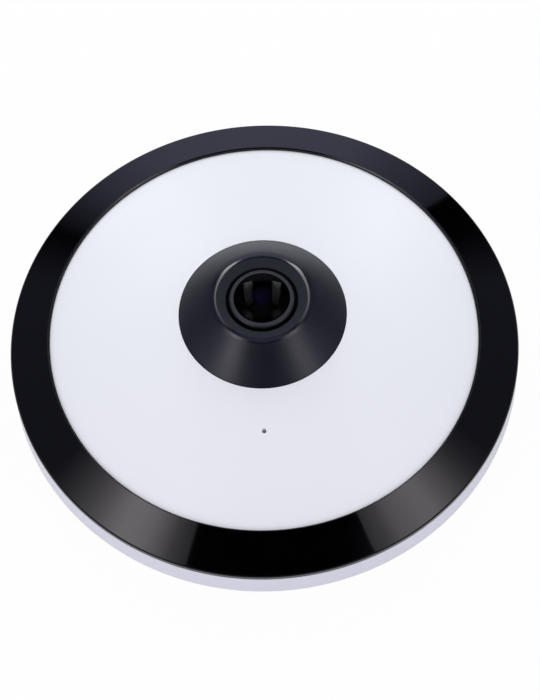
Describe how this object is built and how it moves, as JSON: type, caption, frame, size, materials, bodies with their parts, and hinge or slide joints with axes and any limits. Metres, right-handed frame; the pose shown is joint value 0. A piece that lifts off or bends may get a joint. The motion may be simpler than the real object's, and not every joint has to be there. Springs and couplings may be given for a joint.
{
  "type": "fisheye camera",
  "caption": "round ceiling surveillance camera with a domed all-round lens in a dark conical shroud, white cover, gloss black bezel and a twist-lock ceiling plate",
  "frame": {"origin": "centre of the ceiling plate's rim, in the plane that bears on the ceiling", "axes": "+Z away from the ceiling along the lens axis, -Y towards the microphone hole, +X to its right as the lens is seen with the microphone hole below"},
  "size_m": [0.1516, 0.1516, 0.0442],
  "materials": {
    "zinc_steel": "zinc plated, satin",
    "white_casting": "white powder coat on die-cast aluminium",
    "black_gloss": "polished, passes infra-red light",
    "white_plastic": "fine satin",
    "slate_plastic": "satin",
    "black_rubber": "matt",
    "black_metal": "black anodised",
    "grey_metal": "matt anodised",
    "lens_glass": "coated",
    "clear_glass": "polished",
    "cut_glass": "infra-red cut coating",
    "black_plastic": "moulded",
    "green_board": "solder mask",
    "chip": "moulded package",
    "sensor_ceramic": "matt",
    "magnet": "nickel plated",
    "copper": "enamelled winding wire",
    "screw_steel": "bright",
    "grey_pad": "soft filled silicone",
    "light_white": "matt",
    "can_metal": "bright sleeve"
  },
  "bodies": {
    "ceiling_plate": {"mount_plate": "zinc_steel"},
    "camera": {"rear_housing": "white_casting", "housing_gasket": "black_rubber", "front_bezel": "black_gloss", "front_cover": "white_plastic", "cover_screws": "screw_steel", "lens_shroud": "slate_plastic", "shroud_gasket": "black_rubber", "shroud_nut": "black_plastic", "lens_seal": "black_rubber", "microphone_boot": "black_rubber", "microphone": "can_metal", "lens_barrel": "black_metal", "lens_retaining_ring": "grey_metal", "front_element": "lens_glass", "second_element": "clear_glass", "rear_element": "clear_glass", "aperture_stop": "black_metal", "third_element": "clear_glass", "lens_spacer": "black_metal", "lens_holder": "black_plastic", "lens_lock_nut": "black_metal", "holder_screws": "screw_steel", "filter_frame": "black_plastic", "filter_yoke": "magnet", "filter_coil": "copper", "image_sensor": "sensor_ceramic", "sensor_glass": "clear_glass", "sensor_board": "green_board", "sensor_board_screws": "screw_steel", "main_board": "green_board", "main_board_screws": "screw_steel", "processor": "chip", "thermal_pad": "grey_pad", "power_transformer": "chip", "capacitors": "can_metal", "cable_header": "black_plastic", "board_link": "black_plastic", "card_socket": "can_metal", "reset_switch": "can_metal", "access_hatch": "white_plastic", "hatch_gasket": "black_rubber", "hatch_screws": "screw_steel", "cable_grommet": "black_rubber", "vent_plug": "black_plastic", "light_board": "green_board", "infrared_lights": "light_white", "light_board_screws": "screw_steel"},
    "filter_slide": {"filter_carriage": "black_plastic", "ir_cut_filter": "cut_glass", "clear_filter": "clear_glass"},
    "filter_rotor": {"filter_rotor": "magnet"},
    "reset_button": {"reset_button": "black_plastic"},
    "memory_card": {"memory_card": "chip"}
  },
  "joints": [
    {"name": "camera_twist", "type": "hinge", "parent": "ceiling_plate", "child": "camera", "pos_m": [0, 0, 0.0025], "axis": [0, 0, 1], "range_deg": [0, 30]},
    {"name": "rotor_swing", "type": "hinge", "parent": "camera", "child": "filter_rotor", "pos_m": [0, 0.0172, 0.0238], "axis": [0, 0, 1], "range_deg": [0, 60]},
    {"name": "filter_shift", "type": "slide", "parent": "camera", "child": "filter_slide", "axis": [1, 0, 0], "range_m": [0, 0.007]},
    {"name": "button_press", "type": "slide", "parent": "camera", "child": "reset_button", "axis": [0, 0, 1], "range_m": [0, 0.0003], "stiffness_N_per_m": 2000},
    {"name": "card_slide", "type": "slide", "parent": "camera", "child": "memory_card", "axis": [0, -1, 0], "range_m": [0, 0.012]}
  ],
  "couplings": [
    {"joint": "rotor_swing", "follows": "filter_shift", "rad_per_m": 149.59}
  ]
}
